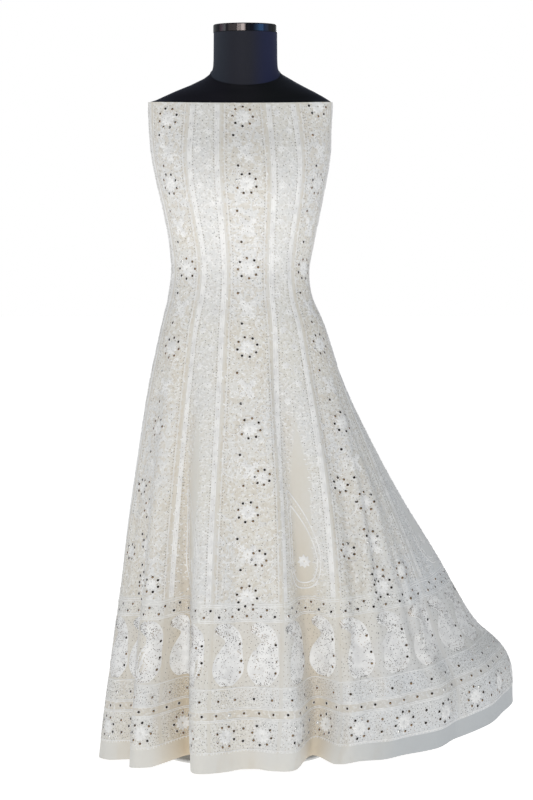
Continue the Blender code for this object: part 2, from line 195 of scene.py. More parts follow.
SEAM_BEIGE = 0.0036  # the bare ground that shows beside a seam
SPECK_SPACING = 0.0115  # of the loose sequins
SWEPT_SPACING = 0.0085
SWEPT_PANELS = (2, 3, 4, 5)
SPECK_LIFT = 0.0009

# The rose panels' motifs. A pair is across and down.
ROUNDEL_DOWNS = (0.030, 0.163, 0.330, 0.488, 0.648, 0.812, 0.978)
HIGH_ROUNDEL = (2, 0)  # this panel's first roundel is cut by the top edge
HIGH_ROUNDEL_LIFT = 0.022
SINGLE_MIRRORS = [(-0.020, -0.030), (-0.013, 0.031)]  # about a cluster
CENTRE_ROUNDELS = [(0.027, 0.744), (0.022, 0.903)]
SIDE_ROUNDELS = [(-0.057, 0.900), (-0.003, 0.884), (-0.006, 0.955), (0.054, 0.958), (-0.040, 0.770)]
CLUSTER_FLOWERS = [
    (0.0, 0.0, 0.0125), (-0.011, -0.011, 0.008), (0.011, -0.010, 0.008),
    (0.007, 0.014, 0.009), (-0.009, 0.012, 0.007),
]

# The vine panels' motifs.
VINE_END = 0.62
VINE_PITCH = 0.072
PLAIN_HALF = 0.020  # half the plain strip that opens below the vine
PLAIN_GROWTH = 0.14  # how far down it opens
TALL_PAISLEY = 0.20

# The borders' rows, from low to high.
BORDER_TOP = 0.322
BORDERS_DOWN = LENGTH - BORDER_TOP
BORDER_LINES = (0.0385, 0.0960, 0.0990, 0.1160, 0.1190, 0.1580, 0.2860, 0.2895, 0.3160, 0.3200)
EDGING = (0.0355, 0.0068)  # height and spacing, as of the next two
ROUNDEL_ROW = (0.0665, 0.088)
PAISLEYS = (0.22, 0.074)
MIRROR_ROWS = [(0.1075, 0.028, 0.0), (0.135, 0.040, 0.0), (0.296, 0.030, 0.0), (0.309, 0.030, 0.012)]
EDGING_FOOT = 0.0345
PAISLEY_ROW = (0.161, 0.284)  # its bare ground, low and high
BEIGE_ROWS = [(0.101, 0.114, 0.75), (*PAISLEY_ROW, 0.35)]  # low, high and how strong
STIPPLE = [(0.040, 0.094, 0.0052), (0.121, 0.156, 0.0046), (0.291, 0.314, 0.0052)]
SEQUIN_ZONES = [
    (0.040, 0.094, 0.0064), (0.121, 0.156, 0.0060), (0.160, 0.284, 0.0090), (0.291, 0.314, 0.0068),
]

# A row paisley's spine as shares of its height: across, up and half width. Its mirrors: across and up.
PAISLEY_FOOT = 0.160
PAISLEY_HEIGHT = 0.124
PATCH_COLUMNS = 6
PAISLEY_SPECKS = 280
PAISLEY_SPECK_LIFT = 0.0010
PAISLEY_SPINE = [
    (-0.01, 0.01, 0.08), (-0.01, 0.08, 0.19), (-0.01, 0.20, 0.265), (0.00, 0.34, 0.28),
    (0.03, 0.48, 0.225), (0.08, 0.60, 0.16), (0.10, 0.72, 0.13), (0.06, 0.83, 0.13),
    (-0.05, 0.90, 0.13), (-0.16, 0.90, 0.10), (-0.24, 0.87, 0.02),
]
PAISLEY_MIRRORS = [(0.19, 0.66), (0.10, 0.63), (0.22, 0.40), (0.20, 0.22)]

# Soft creases in the hung cloth, each from one thread and distance down to another.
Crease = namedtuple("Crease", "thread down end_thread end width out")
CREASES = [Crease(*row) for row in (
    (2.30, 0.640, 2.14, 1.180, 0.012, -0.0100),
    (2.55, 0.560, 2.29, 1.080, 0.012, 0.0080),
    (2.50, 0.800, 2.42, 1.150, 0.010, -0.0040),
    (2.62, 0.700, 2.68, 1.060, 0.013, 0.0080),
    (2.70, 0.820, 2.72, 1.200, 0.012, -0.0110),
    (2.92, 0.760, 3.02, 1.120, 0.014, 0.0040),
    (3.22, 0.840, 3.30, 1.220, 0.014, -0.0040),
    (1.06, 0.420, 1.04, 0.720, 0.007, -0.0030),
    (1.95, 0.430, 1.98, 1.000, 0.009, 0.0035),
    (0.28, 0.620, 0.38, 1.240, 0.012, -0.0045),
    (0.62, 0.880, 0.66, 1.270, 0.012, 0.0030),
    (10.20, 0.560, 10.12, 1.020, 0.014, -0.0050),
    (11.04, 0.520, 11.16, 1.060, 0.009, 0.0040),
    (10.62, 0.900, 10.58, 1.260, 0.013, 0.0040),
    (4.30, 0.600, 4.40, 1.240, 0.013, -0.0045),
    (4.75, 0.700, 4.66, 1.120, 0.012, 0.0040),
    (5.40, 0.560, 5.34, 1.180, 0.014, -0.0050),
    (6.20, 0.640, 6.30, 1.240, 0.012, 0.0045),
    (6.70, 0.740, 6.62, 1.080, 0.012, -0.0035),
    (7.35, 0.600, 7.42, 1.200, 0.014, -0.0050),
    (7.90, 0.700, 7.82, 1.160, 0.011, 0.0040),
    (8.45, 0.560, 8.36, 1.240, 0.013, -0.0045),
    (9.15, 0.660, 9.26, 1.140, 0.012, 0.0040),
    (9.60, 0.780, 9.52, 1.250, 0.013, -0.0040),
    (0.20, 0.300, 11.90, 0.366, 0.008, 0.0016),
    (1.55, 0.310, 1.75, 0.372, 0.008, 0.0016),
    (11.45, 0.290, 11.15, 0.350, 0.008, 0.0014),
    (5.60, 0.300, 5.90, 0.365, 0.008, 0.0016),
    (7.60, 0.305, 7.30, 0.370, 0.008, 0.0014),
)]

# The light: a name, watts, colour, place and aim for each softbox.
WORLD_LIGHT = 0.36
SKY = (0.91, 0.955, 1.0)
SOFTBOX_SIZE = 1.6
SOFTBOXES = [
    ("warm_softbox", 61.0, (1.0, 0.97, 0.92), (-0.8, -4.2, 1.7), (0.0, 0.0, 0.7)),
    ("cool_softbox", 5.0, (0.80, 0.89, 1.0), (3.4, -0.8, 1.4), (0.2, 0.0, 0.6)),
    ("back_softbox", 36.0, (1.0, 0.98, 0.95), (0.8, 4.2, 2.0), (0.0, 0.0, 0.7)),
]

WARP_THREADS = 900.0  # to the metre
# Colours of the cloth and its thread. A cloth's tones are its ground, its cool patches and its beige.
THREAD_WHITE = (0.85, 0.85, 0.845)
THREAD_GREY = (0.72, 0.72, 0.72)
ROSE_TONES = ((0.72, 0.705, 0.66), (0.70, 0.71, 0.72), (0.62, 0.575, 0.50))
VINE_TONES = ((0.70, 0.69, 0.65), (0.69, 0.70, 0.71), (0.65, 0.615, 0.55))
HEM_TONES = ((0.695, 0.685, 0.65), (0.68, 0.68, 0.665), (0.67, 0.64, 0.58))
# Painted shade: the tan laid on cloth that lies deep between folds, where shade falls.
PAINTED_FOLD_SHADE_TAN = (0.60, 0.52, 0.40)
CLOTH_PAINTED_SIDE_SHADE = ((0.57, 0.612, 0.67), 0.32)  # painted cool shade towards the swept-out side, and how much of it
# The hem band's painted cool shade towards the swept-out side, and how much of it.
BAND_PAINTED_SIDE_SHADE = ((0.48, 0.505, 0.525), 0.9)
# A jersey's left, middle and right tones: the middle is its own colour, and the sides carry painted light at
# the left and painted cool shade at the right.
BODY_JERSEY_WITH_PAINTED_SIDES = ((0.0068, 0.0066, 0.0105), (0.0055, 0.0057, 0.0080), (0.0042, 0.0050, 0.0062))
NECK_JERSEY_WITH_PAINTED_SIDES = ((0.0190, 0.0245, 0.0360), (0.0095, 0.0105, 0.0180), (0.0080, 0.0115, 0.0420))
# The rim's painted reflections: upright bands of tint, by shares of its width from the left.
RIM_PAINTED_REFLECTIONS = [
    (0.02, (0.02, 0.02, 0.024)), (0.09, (0.02, 0.02, 0.024)), (0.12, (0.12, 0.08, 0.10)),
    (0.18, (0.16, 0.16, 0.17)), (0.21, (0.015, 0.015, 0.02)), (0.25, (0.08, 0.07, 0.07)),
    (0.47, (0.075, 0.065, 0.065)), (0.51, (0.006, 0.006, 0.008)), (0.62, (0.010, 0.012, 0.024)),
    (0.68, (0.03, 0.06, 0.12)), (0.73, (0.05, 0.12, 0.26)), (0.79, (0.014, 0.025, 0.055)),
    (0.90, (0.03, 0.03, 0.035)), (0.96, (0.008, 0.008, 0.010)),
]

CAMERA_PLACE = (0.0, -6.0, 1.009)
CAMERA_AIM = (0.047, 0.0, 0.7115)
CAMERA_LENS = 135.0


def along(stations, values, at):
    """A smooth curve through a table: cubic pieces with the slopes that their neighbours give."""
    stations, values, at = (np.asarray(x, float) for x in (stations, values, at))
    slopes = np.gradient(values, stations)
    i = np.clip(np.searchsorted(stations, at, side="right") - 1, 0, len(stations) - 2)
    step = stations[i + 1] - stations[i]
    t = np.clip((at - stations[i]) / step, 0.0, 1.0)
    rise = values[i + 1] - values[i]
    ease = t * t * (3.0 - 2.0 * t)
    start = t * (1.0 - t) ** 2 * step * slopes[i]
    end = t * t * (t - 1.0) * step * slopes[i + 1]
    return values[i] + rise * ease + start + end


def thread_share(u, down):
    """How far round the gown the thread u runs at a distance down."""
    count = len(PANELS)
    threads = np.arange(-2, count + 3)
    bodice = np.clip(down / BODICE_LENGTH, 0.0, 1.0)
    skirt = np.clip((down - BODICE_LENGTH) / SKIRT_LENGTH, 0.0, 1.0)
    shares = {}
    for level in ("top", "waist", "hem"):
        seams = [getattr(PANELS[k % count], level) + k // count for k in threads]
        shares[level] = along(threads, seams, u)
    top, waist, hem = shares["top"], shares["waist"], shares["hem"]
    return top + (waist - top) * bodice + (hem - waist) * skirt


def fold_out(angle, down):
    """How far the cloth stands out of its plain girth at each of some angles, at one distance down."""
    fallen = np.clip((down - BODICE_LENGTH) / SKIRT_LENGTH, 0.0, 1.0)
    lines = [f.waist + (f.hem - f.waist) * fallen for f in FOLDS]
    angles = np.array([lines[-1] - 360.0, *lines, lines[0] + 360.0])
    folds = [FOLDS[-1], *FOLDS, FOLDS[0]]
    angle = np.mod(angle, 360.0)
    i = np.clip(np.searchsorted(angles, angle, side="right") - 1, 0, len(folds) - 2)
    t = (angle - angles[i]) / (angles[i + 1] - angles[i])
    blend = (1.0 - np.cos(math.pi * t)) / 2.0
    out = np.array([f.out for f in folds])
    start = np.array([f.start for f in folds])
    out_here = out[i] + (out[i + 1] - out[i]) * blend
    start_here = start[i] + (start[i + 1] - start[i]) * blend
    grown = (down - BODICE_LENGTH - start_here) / (SKIRT_LENGTH - start_here)
    return out_here * np.clip(grown, 0.0, 1.0) ** FOLD_GROWTH


def girth(down):
    """Left, right, front, back and squareness at a distance down the cloth."""
    stations = [g.down for g in GIRTHS]
    columns = ("left", "right", "front", "back", "squareness")
    return [along(stations, [getattr(g, c) for g in GIRTHS], down) for c in columns]


def oval(angle, down):
    """The plain girth at an angle: x, y, and the way out of it."""
    left, right, front, back, squareness = girth(down)
    turn = np.radians(angle)
    sine, cosine = np.sin(turn), np.cos(turn)
    breadth = np.where(sine > 0.0, right, left)
    depth = np.where(cosine > 0.0, front, back)
    power = 2.0 / squareness
    x = breadth * np.sign(sine) * np.abs(sine) ** power
    y = -depth * np.sign(cosine) * np.abs(cosine) ** power
    out = np.stack([sine / breadth, -cosine / depth], axis=-1)
    out /= np.linalg.norm(out, axis=-1, keepdims=True)
    return x, y, out


def dipped(angle, down):
    """Distances down the cloth, with the top edge cut lower round the middle of the front."""
    fade = np.clip(1.0 - down / BODICE_LENGTH, 0.0, 1.0) ** 2
    return down + TOP_DIP * fade * np.clip(np.cos(np.radians(angle)), 0.0, 1.0) ** 2


def level_curve(down):
    """The folded cloth at one distance down: angles, x, y, fold, and the share of the girth so far."""
    angle = np.linspace(-360.0, 720.0, ANGLE_STEPS * 3 + 1)
    x, y, out = oval(angle, dipped(angle, down))
    fold = fold_out(angle, down)
    x, y = x + fold * out[:, 0], y + fold * out[:, 1]
    share = np.concatenate([[0.0], np.cumsum(np.hypot(np.diff(x), np.diff(y)))])
    share /= share[2 * ANGLE_STEPS] - share[ANGLE_STEPS]
    return angle, x, y, fold, share - share[ANGLE_STEPS]


def cloth_points(u, down):
    """The gown's outer face at threads u and distances down, and how far each fold stands out."""
    shape = (len(down), len(u))
    angle, x, y, fold = (np.empty(shape) for _ in range(4))
    for r, distance in enumerate(down):
        angles, *curve, share = level_curve(distance)
        here = thread_share(u, distance)
        angle[r] = np.interp(here, share, angles)
        x[r], y[r], fold[r] = (np.interp(here, share, values) for values in curve)
    down = dipped(angle, np.reshape(down, (-1, 1)))
    plain_x, plain_y, _ = oval(angle, down)
    run = np.hypot(np.diff(plain_x, axis=0), np.diff(plain_y, axis=0))
    length = np.diff(down, axis=0)
    slanted = np.sqrt(np.maximum(length**2 - run**2, (0.3 * length) ** 2))
    drop = np.where(down[1:] > BODICE_LENGTH + 1e-9, slanted, length)
    z = TOP_EDGE_Z - np.concatenate([down[:1], down[:1] + np.cumsum(drop, axis=0)])
    return np.stack([x, y, z - VALLEY_LIFT * np.minimum(fold, 0.0)], axis=-1), fold


def facing(points):
    """Unit normals of the lattice, pointing out. Its first and last columns are the same thread."""
    closed = np.concatenate([points[:, -2:-1], points, points[:, 1:2]], axis=1)
    down_way = np.gradient(closed, axis=0)
    round_way = np.gradient(closed, axis=1)
    normal = np.cross(down_way, round_way)[:, 1:-1]
    return normal / np.linalg.norm(normal, axis=-1, keepdims=True)


class Cloth:
    """The gown's face as a lattice of points: rows down the cloth, columns round it."""

    def __init__(self):
        panel_end = LENGTH - HEM_BAND
        hem_rows = np.linspace(panel_end, LENGTH, HEM_ROWS + 1)[1:]
        self.down = np.concatenate([np.linspace(0.0, panel_end, PANEL_ROWS + 1), hem_rows])
        fine = np.arange(len(PANELS) * FINE_THREADS + 1) / FINE_THREADS
        points, fold = cloth_points(fine, self.down)
        self.columns = [COLUMNS_A_STRIP * p.strips for p in PANELS]
        self.first = np.concatenate([[0], np.cumsum(self.columns)])
        self.width = np.empty((len(PANELS), len(self.down)))
        shape = (len(self.down), self.first[-1] + 1)
        self.points = np.empty((*shape, 3))
        self.fold = np.empty(shape)
        for k in range(len(PANELS)):
            for r in range(len(self.down)):
                self.space_evenly(k, r, points[r], fold[r])
        outward = facing(self.points)
        self.points += outward * sum(self.creased(crease) for crease in CREASES)[..., None]
        self.across = np.empty(shape)
        for k, columns in enumerate(self.columns):
            share = np.linspace(-0.5, 0.5, columns + 1)
            self.across[:, self.first[k] : self.first[k + 1] + 1] = self.width[k][:, None] * share
        self.normals = facing(self.points)

    def space_evenly(self, k, r, points, fold):
        """Spaces row r of panel k's threads evenly, by the cloth's own length."""
        here = slice(k * FINE_THREADS, (k + 1) * FINE_THREADS + 1)
        piece = points[here]
        length = np.concatenate([[0.0], np.cumsum(np.linalg.norm(np.diff(piece, axis=0), axis=1))])
        even = np.linspace(0.0, length[-1], self.columns[k] + 1)
        there = slice(self.first[k], self.first[k + 1] + 1)
        for axis in range(3):
            self.points[r, there, axis] = np.interp(even, length, piece[:, axis])
        self.fold[r, there] = np.interp(even, length, fold[here])
        self.width[k, r] = length[-1]

    def creased(self, crease):
        """How far one crease moves each point of the lattice out, fading to nothing at its ends."""
        share = (self.down - crease.down) / (crease.end - crease.down)
        fade = np.sin(math.pi * np.clip(share, 0.0, 1.0)) ** 0.8
        columns = np.arange(self.first[-1] + 1)
        girth_so_far = np.concatenate([np.zeros((1, len(self.down))), np.cumsum(self.width, axis=0)])
        out = np.zeros(self.fold.shape)
        for r in np.nonzero(fade)[0]:
            here = np.interp(columns, self.first, girth_so_far[:, r])
            turn = crease.end_thread - crease.thread
            turn -= len(PANELS) * round(turn / len(PANELS))
            thread = (crease.thread + turn * share[r]) % len(PANELS)
            middle = np.interp(thread, np.arange(len(PANELS) + 1), girth_so_far[:, r])
            away = (here - middle + here[-1] / 2) % here[-1] - here[-1] / 2
            out[r] = crease.out * fade[r] * np.exp(-((away / crease.width) ** 2))
        return out

    def width_at(self, k, down):
        return np.interp(down, self.down, self.width[k])

    def lay(self, k, across, down, out):
        """Points on panel k: across from its middle line, down from the top edge, out from its face."""
        across, down = np.broadcast_arrays(np.asarray(across, float), np.asarray(down, float))
        share = np.clip(across / self.width_at(k, down) + 0.5, 0.0, 1.0)
        column = self.first[k] + share * self.columns[k]
        row = np.interp(down, self.down, np.arange(len(self.down)))
        c = np.clip(np.floor(column).astype(int), self.first[k], self.first[k + 1] - 1)
        r = np.clip(np.floor(row).astype(int), 0, len(self.down) - 2)
        s, t = (column - c)[..., None], (row - r)[..., None]

        def between(values):
            upper = values[r, c] * (1 - s) + values[r, c + 1] * s
            lower = values[r + 1, c] * (1 - s) + values[r + 1, c + 1] * s
            return upper * (1 - t) + lower * t

        normal = between(self.normals)
        normal /= np.linalg.norm(normal, axis=-1, keepdims=True)
        return between(self.points) + normal * np.asarray(out, float)[..., None]


class Shape:
    """A small shape's points and faces, read from a bmesh. X is across, Y down and Z out of the cloth.

    Seen from outside, across and down are a left-handed pair, so the faces are turned over.
    """

    def __init__(self, bm):
        bmesh.ops.recalc_face_normals(bm, faces=bm.faces[:])
        if sum(face.normal.z for face in bm.faces) > 0.0:
            bmesh.ops.reverse_faces(bm, faces=bm.faces[:])
        self.points = np.array([vertex.co[:] for vertex in bm.verts])
        self.corners = np.array([v.index for face in bm.faces for v in face.verts])
        self.sizes = np.array([len(face.verts) for face in bm.faces])
        bm.free()


def leaf_shape(length, width, height):
    """A pointed leaf or petal of satin stitch, from its foot at the middle out along +Y."""
    bm = bmesh.new()
    bmesh.ops.create_grid(bm, x_segments=2, y_segments=3, size=0.5)
    for vertex in bm.verts:
        share = vertex.co.y + 0.5
        belly = math.sin(math.pi * share**0.8) + 0.12
        raised = (1.0 - abs(vertex.co.x) * 2.0) * belly
        vertex.co = (vertex.co.x * width * belly, share * length, raised * height)
    return Shape(bm)


def dome_shape(radius, height):
    """A knot of thread or a sequin: a low cone of four faces."""
    bm = bmesh.new()
    bmesh.ops.create_cone(bm, segments=4, radius1=radius, radius2=0.0, depth=height)
    bmesh.ops.translate(bm, verts=bm.verts[:], vec=(0.0, 0.0, height / 2))
    return Shape(bm)


def disc_shape(radius, height):
    """A mirror: a flat face on a low rim, with no face under it."""
    bm = bmesh.new()
    bmesh.ops.create_circle(bm, cap_ends=True, segments=8, radius=radius)
    under = bm.faces[:]
    raised = bmesh.ops.extrude_face_region(bm, geom=under, use_keep_orig=True)["geom"]
    top = [v for v in raised if isinstance(v, bmesh.types.BMVert)]
    bmesh.ops.translate(bm, verts=top, vec=(0.0, 0.0, height))
    bmesh.ops.delete(bm, geom=under, context="FACES_ONLY")
    return Shape(bm)


def ring_shape(radius, thread, height):
    """The ring of thread that holds a mirror: a raised band between two circles."""
    bm = bmesh.new()
    profile = [(radius - thread / 2, 0.0), (radius, height), (radius + thread / 2, 0.0)]
    points = [bm.verts.new((x, 0.0, z)) for x, z in profile]
    edges = [bm.edges.new(pair) for pair in zip(points, points[1:])]
    bmesh.ops.spin(
        bm, geom=points + edges, cent=(0, 0, 0), axis=(0, 0, 1), angle=TURN, steps=8, use_merge=True,
    )
    return Shape(bm)


class Work:
    """Many small raised shapes on one panel, gathered as arrays and joined in one mesh."""

    def __init__(self, cloth, k):
        self.cloth, self.k = cloth, k
        self.points, self.corners, self.sizes = [], [], []
        self.count = 0

    def add(self, shape, across, down, out):
        """One batch: arrays of copies by points, and the shape whose faces they have."""
        points = self.cloth.lay(self.k, across, down, out)
        copies, size = points.shape[:2]
        self.points.append(points.reshape(-1, 3))
        shift = self.count + size * np.arange(copies)[:, None]
        self.corners.append((shape.corners[None] + shift).ravel())
        self.sizes.append(np.tile(shape.sizes, copies))
        self.count += copies * size

    def stamp(self, shape, across, down, turn=0.0, size=1.0, lift=0.0):
        """Copies of a shape at places on the panel, each turned and scaled."""
        across, down, turn, size, lift = np.broadcast_arrays(
            *(np.atleast_1d(np.asarray(value, float)) for value in (across, down, turn, size, lift))
        )
        if not len(across):
            return
        cosine, sine = (np.cos(turn) * size)[:, None], (np.sin(turn) * size)[:, None]
        x, y, z = shape.points.T
        self.add(
            shape,
            across[:, None] + cosine * x - sine * y,
            down[:, None] + sine * x + cosine * y,
            lift[:, None] + z * np.sqrt(size)[:, None],
        )

    def ribbon(self, across, down, width, height=CORD_HEIGHT, closed=False):
        """A raised cord of satin stitch along a path on the panel."""
        across, down = np.broadcast_arrays(np.asarray(across, float), np.asarray(down, float))
        path = np.stack([across, down], axis=-1)
        way = np.gradient(path, axis=0)
        if closed:
            path = np.concatenate([path, path[:1]])
            way = np.roll(path[:-1], -1, axis=0) - np.roll(path[:-1], 1, axis=0)
            way = np.concatenate([way, way[:1]])
        side = np.stack([way[:, 1], -way[:, 0]], axis=-1)
        side *= width / 2 / np.linalg.norm(side, axis=-1, keepdims=True)
        rails = np.stack([path - side, path, path + side], axis=1).reshape(1, -1, 2)
        heights = np.tile([0.0, height, 0.0], len(path))[None]
        self.add(strip(len(path) - 1), rails[..., 0], rails[..., 1], heights + THREAD_LIFT)

    def mesh(self, name):
        """All the shapes as one mesh."""
        points, corners, sizes = (np.concatenate(rows) for rows in (self.points, self.corners, self.sizes))
        mesh = bpy.data.meshes.new(name)
        mesh.vertices.add(len(points))
        mesh.vertices.foreach_set("co", points.ravel())
        mesh.loops.add(len(corners))
        mesh.loops.foreach_set("vertex_index", corners)
        mesh.polygons.add(len(sizes))
        mesh.polygons.foreach_set("loop_start", np.cumsum(sizes) - sizes)
        mesh.update(calc_edges=True)
        mesh.validate()
        mesh.shade_smooth()
        return mesh


def strip(rows, columns=2):
    """The faces of a ribbon or patch of stitches, so many columns wide."""
    bm = bmesh.new()
    bmesh.ops.create_grid(bm, x_segments=columns, y_segments=rows, size=1.0)
    return Shape(bm)


def in_scene(name, data):
    obj = bpy.data.objects.new(name, data)
    bpy.context.scene.collection.objects.link(obj)
    return obj


def point_at(obj, place, aim):
    """Stands a lamp or the camera at a place, turned to face another."""
    obj.location = place
    obj.rotation_euler = (Vector(aim) - Vector(place)).to_track_quat("-Z", "Y").to_euler()


def finished(bm, name):
    """A bmesh written to a mesh of its own."""
    mesh = bpy.data.meshes.new(name)
    bm.to_mesh(mesh)
    bm.free()
    return mesh


def piece(name, data, material):
    """Adds a finished mesh or curve as a named piece that rides on the gown's one body."""
    obj = in_scene(name, data)
    data.materials.append(material)
    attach(obj, "root")
    return obj


def flat_grid(name, columns, rows):
    """A flat grid mesh, columns by rows of faces, to be laid with its rows running down the cloth."""
    bm = bmesh.new()
    bmesh.ops.create_grid(bm, x_segments=columns, y_segments=rows, size=1.0)
    bmesh.ops.reverse_faces(bm, faces=bm.faces[:])
    for face in bm.faces:
        face.smooth = True
    for edge in bm.edges:
        edge.smooth = not edge.is_boundary
    return finished(bm, name)


def cloth_piece(name, cloth, k, first_row, last_row, material):
    """Panel k's cloth between two rows of the lattice, as a thin shell with its flat sizes as its map."""
    columns = cloth.columns[k]
    mesh = flat_grid(name, columns, last_row - first_row)
    rows = slice(first_row, last_row + 1)
    here = slice(cloth.first[k], cloth.first[k + 1] + 1)
    mesh.vertices.foreach_set("co", cloth.points[rows, here].ravel())
    share = np.linspace(-0.5, 0.5, columns + 1)
    across = cloth.width[k][rows, None] * share
    down = np.broadcast_to(cloth.down[rows, None], across.shape)
    flat = np.stack([across.ravel(), down.ravel()], axis=-1)
    corners = np.empty(len(mesh.loops), int)
    mesh.loops.foreach_get("vertex_index", corners)
    mesh.uv_layers.new(name="flat").data.foreach_set("uv", flat[corners].ravel())
    # The painted fold shade: how deep each point lies in a fold, which tints the cloth tan in its material.
    hollow = np.clip(-cloth.fold[rows, here] / DEEP_FOLD, 0.0, 1.0)
    mesh.attributes.new("hollow", "FLOAT", "POINT").data.foreach_set("value", hollow.ravel())
    edge = cloth.width[k][rows, None] / 2 - np.abs(across)
    mesh.attributes.new("edge", "FLOAT", "POINT").data.foreach_set("value", edge.ravel())
    mesh.update()
    obj = piece(name, mesh, material)
    thicken = obj.modifiers.new("thickness", "SOLIDIFY")
    thicken.thickness = CLOTH
    thicken.offset = -1.0
    return obj


def ring_points(ring):
    """The points of one of the form's rings."""
    turn = np.linspace(0.0, TURN, RING_POINTS, endpoint=False)
    depth = np.where(np.cos(turn) > 0.0, ring.front, ring.back)
    y = -depth * np.cos(turn)
    return np.stack([ring.half_width * np.sin(turn) + ring.side, y, ring.z + ring.slant * y], axis=-1)


def bodice_rings():
    """The torso's rings inside the bodice: the gown's own girth less the cloth and the ease."""
    turn = np.linspace(0.0, 360.0, RING_POINTS, endpoint=False)
    rings = []
    for down in np.linspace(BODICE_LENGTH, 0.0, 25):
        left, right, front, back, _ = girth(down)
        x, y, _ = oval(turn, np.full(RING_POINTS, down))
        x = x * np.where(x > 0.0, 1.0 - BODY_EASE / right, 1.0 - BODY_EASE / left)
        y = y * np.where(y < 0.0, 1.0 - BODY_EASE / front, 1.0 - BODY_EASE / back)
        rings.append(np.stack([x, y, np.full(RING_POINTS, TOP_EDGE_Z - down)], axis=-1))
    return rings


def loft(name, rings, material):
    """A closed solid through rings of points, bottom to top: one loop extruded from ring to ring."""
    bm = bmesh.new()
    place = bm.verts.layers.int.new("place")
    first = bmesh.ops.create_circle(bm, cap_ends=True, segments=RING_POINTS, radius=1.0)
    for number, vertex in enumerate(first["verts"]):
        vertex[place] = number
        vertex.co = rings[0][number]
    loop = bm.edges[:]
    for ring in rings[1:]:
        made = bmesh.ops.extrude_edge_only(bm, edges=loop)["geom"]
        for vertex in made:
            if isinstance(vertex, bmesh.types.BMVert):
                vertex.co = ring[vertex[place]]
        loop = [e for e in made if isinstance(e, bmesh.types.BMEdge) and all(v in made for v in e.verts)]
    bmesh.ops.contextual_create(bm, geom=loop)
    bmesh.ops.recalc_face_normals(bm, faces=bm.faces[:])
    mesh = finished(bm, name)
    mesh.shade_smooth()
    mesh.set_sharp_from_angle(angle=math.radians(50))
    return piece(name, mesh, material)


class Finish:
    """A material, built up node by node. A value that is a socket is linked, and any other is set."""

    def __init__(self, name, colour, roughness, metallic=0.0):
        self.material = bpy.data.materials.new(name)
        self.material.use_nodes = True
        self.tree = self.material.node_tree
        self.shader = self.tree.nodes["Principled BSDF"]
        self.set(self.shader, {"Base Color": colour, "Roughness": roughness, "Metallic": metallic})

    def feed(self, socket, value):
        if isinstance(value, bpy.types.NodeSocket):
            self.tree.links.new(value, socket)
        elif isinstance(value, tuple) and socket.type == "RGBA":
            socket.default_value = (*value, 1.0)
        else:
            socket.default_value = value

    def set(self, node, inputs):
        for name, value in inputs.items():
            self.feed(node.inputs[name], value)

    def add(self, kind, inputs, **settings):
        node = self.tree.nodes.new("ShaderNode" + kind)
        for name, value in settings.items():
            setattr(node, name, value)
        self.set(node, inputs)
        return node

    def place(self):
        return self.add("TexCoord", {}).outputs["Object"]

    def flat(self):
        """The cloth's own flat sizes, in metres: across the panel and down from the top edge."""
        return self.add("UVMap", {}, uv_map="flat").outputs["UV"]

    def attribute(self, name):
        return self.add("Attribute", {}, attribute_name=name).outputs["Fac"]

    def axis(self, vector, name):
        return self.add("SeparateXYZ", {"Vector": vector}).outputs[name]

    def noise(self, vector, scale, detail=2.0, stretch=None, curled=0.0):
        if stretch:
            vector = self.add("Mapping", {"Vector": vector, "Scale": stretch}).outputs["Vector"]
        inputs = {"Vector": vector, "Scale": scale, "Detail": detail, "Distortion": curled}
        return self.add("TexNoise", inputs).outputs["Fac"]

    def between(self, value, low, high):
        """A value eased from 0 at low to 1 at high."""
        inputs = {"Value": value, "From Min": low, "From Max": high}
        return self.add("MapRange", inputs, interpolation_type="SMOOTHSTEP").outputs["Result"]

    def spread(self, value, low, high, to_low=0.0, to_high=1.0):
        """A value spread evenly from one range to another."""
        inputs = {"Value": value, "From Min": low, "From Max": high, "To Min": to_low, "To Max": to_high}
        return self.add("MapRange", inputs).outputs["Result"]

    def within(self, value, low, high, soft):
        """1 where a value lies between low and high, softened at both ends."""
        return self.times(self.between(value, low - soft, low), self.between(value, high + soft, high))

    def math(self, operation, *values):
        node = self.add("Math", {}, operation=operation)
        for socket, value in zip(node.inputs, values):
            self.feed(socket, value)
        return node.outputs["Value"]

    def times(self, a, b):
        return self.math("MULTIPLY", a, b)

    def mix(self, share, first, second):
        """A blend of two colours."""
        node = self.add("Mix", {}, data_type="RGBA")
        for number, value in ((0, share), (6, first), (7, second)):
            self.feed(node.inputs[number], value)
        return node.outputs[2]

    def bump(self, height, distance, strength=1.0, under=None):
        inputs = {"Height": height, "Distance": distance, "Strength": strength}
        if under:
            inputs["Normal"] = under
        return self.add("Bump", inputs).outputs["Normal"]

    def weave(self, vector, threads):
        """Warp and weft: two sets of fine bands, threads to the metre."""
        inputs = {"Vector": vector, "Scale": threads / 10.0 * 1.59}
        warp, weft = (self.add("TexWave", inputs, bands_direction=way).outputs["Fac"] for way in "XY")
        return self.times(warp, weft)


